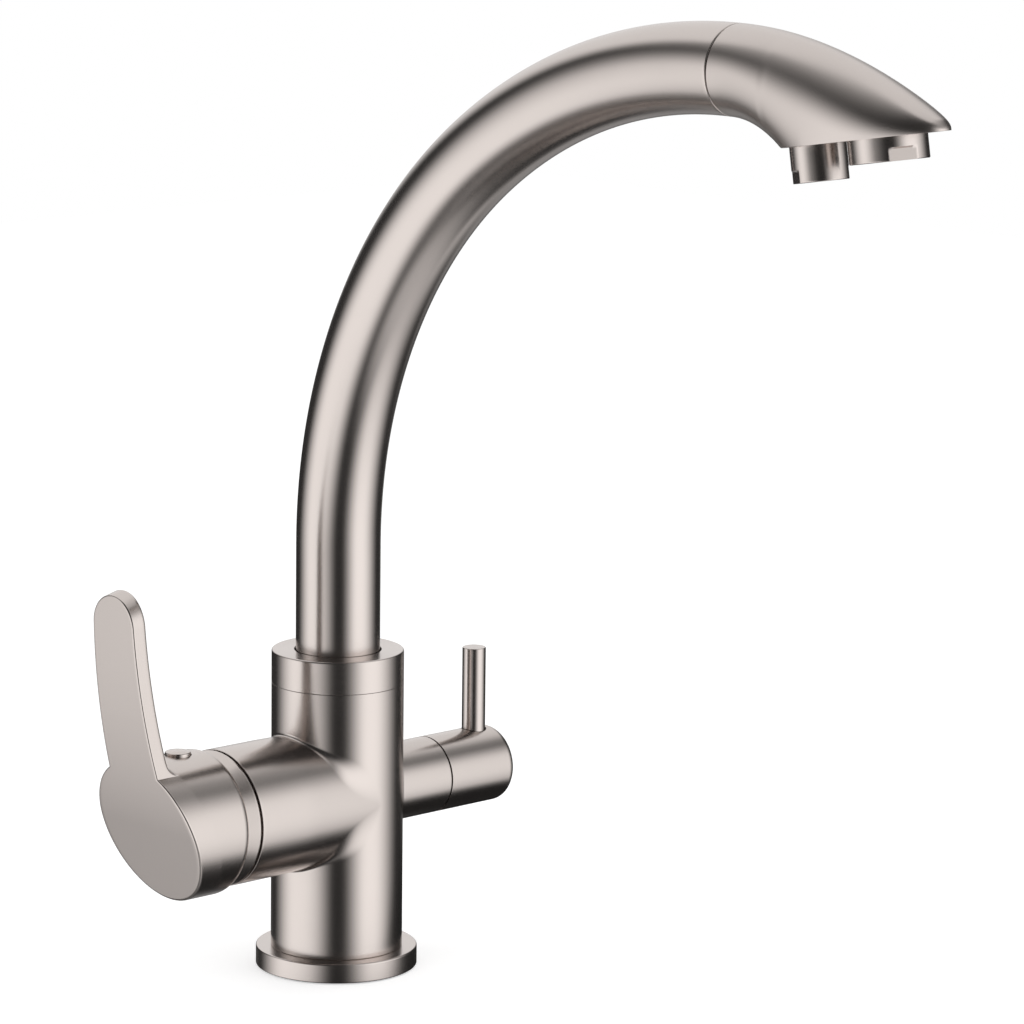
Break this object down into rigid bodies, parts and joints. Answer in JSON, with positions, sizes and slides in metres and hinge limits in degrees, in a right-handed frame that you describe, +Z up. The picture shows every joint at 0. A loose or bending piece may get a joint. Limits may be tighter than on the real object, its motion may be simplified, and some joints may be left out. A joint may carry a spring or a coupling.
{
  "type": "drinking water filter tap",
  "caption": "Deck-mounted kitchen tap with a swivelling arched spout, a tilting mixer lever and a separate quarter-turn handle for filtered drinking water.",
  "frame": {"origin": "centre of the base flange's underside, on the worktop surface", "axes": "+X along the spout's reach, +Y towards the filtered water handle, -Y towards the mixer lever, +Z up"},
  "size_m": [0.289, 0.1654, 0.3277],
  "materials": {
    "satin_nickel": "brass and zinc castings with a fine brushed, warm satin nickel plating",
    "raw_brass": "machined brass, unplated, hidden inside",
    "stainless_steel": "turned stainless steel, hidden inside",
    "black_rubber": "moulded black sealing rubber, matte",
    "white_ceramic": "lapped white ceramic",
    "grey_plastic": "moulded light grey plastic, matte",
    "blue_tube": "drawn food-safe plastic tube, milky"
  },
  "bodies": {
    "tap": {"base_flange": "satin_nickel", "base_gasket": "black_rubber", "tap_body": "satin_nickel", "swivel_collar": "satin_nickel", "swivel_bush": "grey_plastic", "water_tube_o_ring": "black_rubber", "cartridge_base": "grey_plastic", "cartridge_port_seals": "black_rubber", "cartridge_fixed_disc": "white_ceramic", "cartridge_body": "grey_plastic", "cartridge_nut": "raw_brass", "cover_ring": "satin_nickel", "valve_headwork": "raw_brass", "valve_o_ring": "black_rubber", "valve_seat_seal": "black_rubber", "valve_fixed_disc": "white_ceramic"},
    "spout": {"spout_spigot": "raw_brass", "spigot_o_ring_low": "black_rubber", "spigot_o_ring_high": "black_rubber", "spout_tube": "satin_nickel", "filter_water_tube": "blue_tube", "spout_head": "satin_nickel", "head_o_ring": "black_rubber", "filter_outlet_housing": "satin_nickel", "filter_outlet_insert": "grey_plastic", "filter_outlet_washer": "black_rubber", "mixed_outlet_housing": "satin_nickel", "mixed_outlet_aerator": "grey_plastic", "mixed_outlet_washer": "black_rubber"},
    "mixer_turn": {"cartridge_rotor": "grey_plastic", "stem_pin": "stainless_steel"},
    "mixer_lift": {"lever_stem": "stainless_steel", "mixer_lever": "satin_nickel", "lever_grub_screw": "stainless_steel", "lever_plug": "satin_nickel"},
    "mixer_disc": {"cartridge_moving_disc": "white_ceramic", "cartridge_disc_carrier": "grey_plastic"},
    "filter_turn": {"valve_moving_disc": "white_ceramic", "valve_spindle": "raw_brass", "spindle_o_ring": "black_rubber", "spindle_clip": "stainless_steel", "filter_handle": "satin_nickel", "handle_rod": "satin_nickel", "handle_grub_screw": "stainless_steel"}
  },
  "joints": [
    {"name": "spout_swivel", "type": "hinge", "parent": "tap", "child": "spout", "pos_m": [0, 0, 0.0965], "axis": [0, 0, 1], "continuous": true},
    {"name": "mixer_temperature", "type": "hinge", "parent": "tap", "child": "mixer_turn", "pos_m": [0, -0.042, 0.0582], "axis": [0, 1, 0], "range_deg": [-45, 45]},
    {"name": "mixer_flow", "type": "hinge", "parent": "mixer_turn", "child": "mixer_lift", "pos_m": [0, -0.042, 0.0582], "axis": [1, 0, 0], "range_deg": [0, 20]},
    {"name": "mixer_disc_slide", "type": "slide", "parent": "mixer_turn", "child": "mixer_disc", "axis": [0, 0, 1], "range_m": [0, 0.0024]},
    {"name": "filter_quarter_turn", "type": "hinge", "parent": "tap", "child": "filter_turn", "pos_m": [0, 0.0617, 0.0582], "axis": [0, 1, 0], "range_deg": [0, 90]}
  ],
  "couplings": [
    {"joint": "mixer_disc_slide", "follows": "mixer_flow", "m_per_rad": 0.0064}
  ]
}
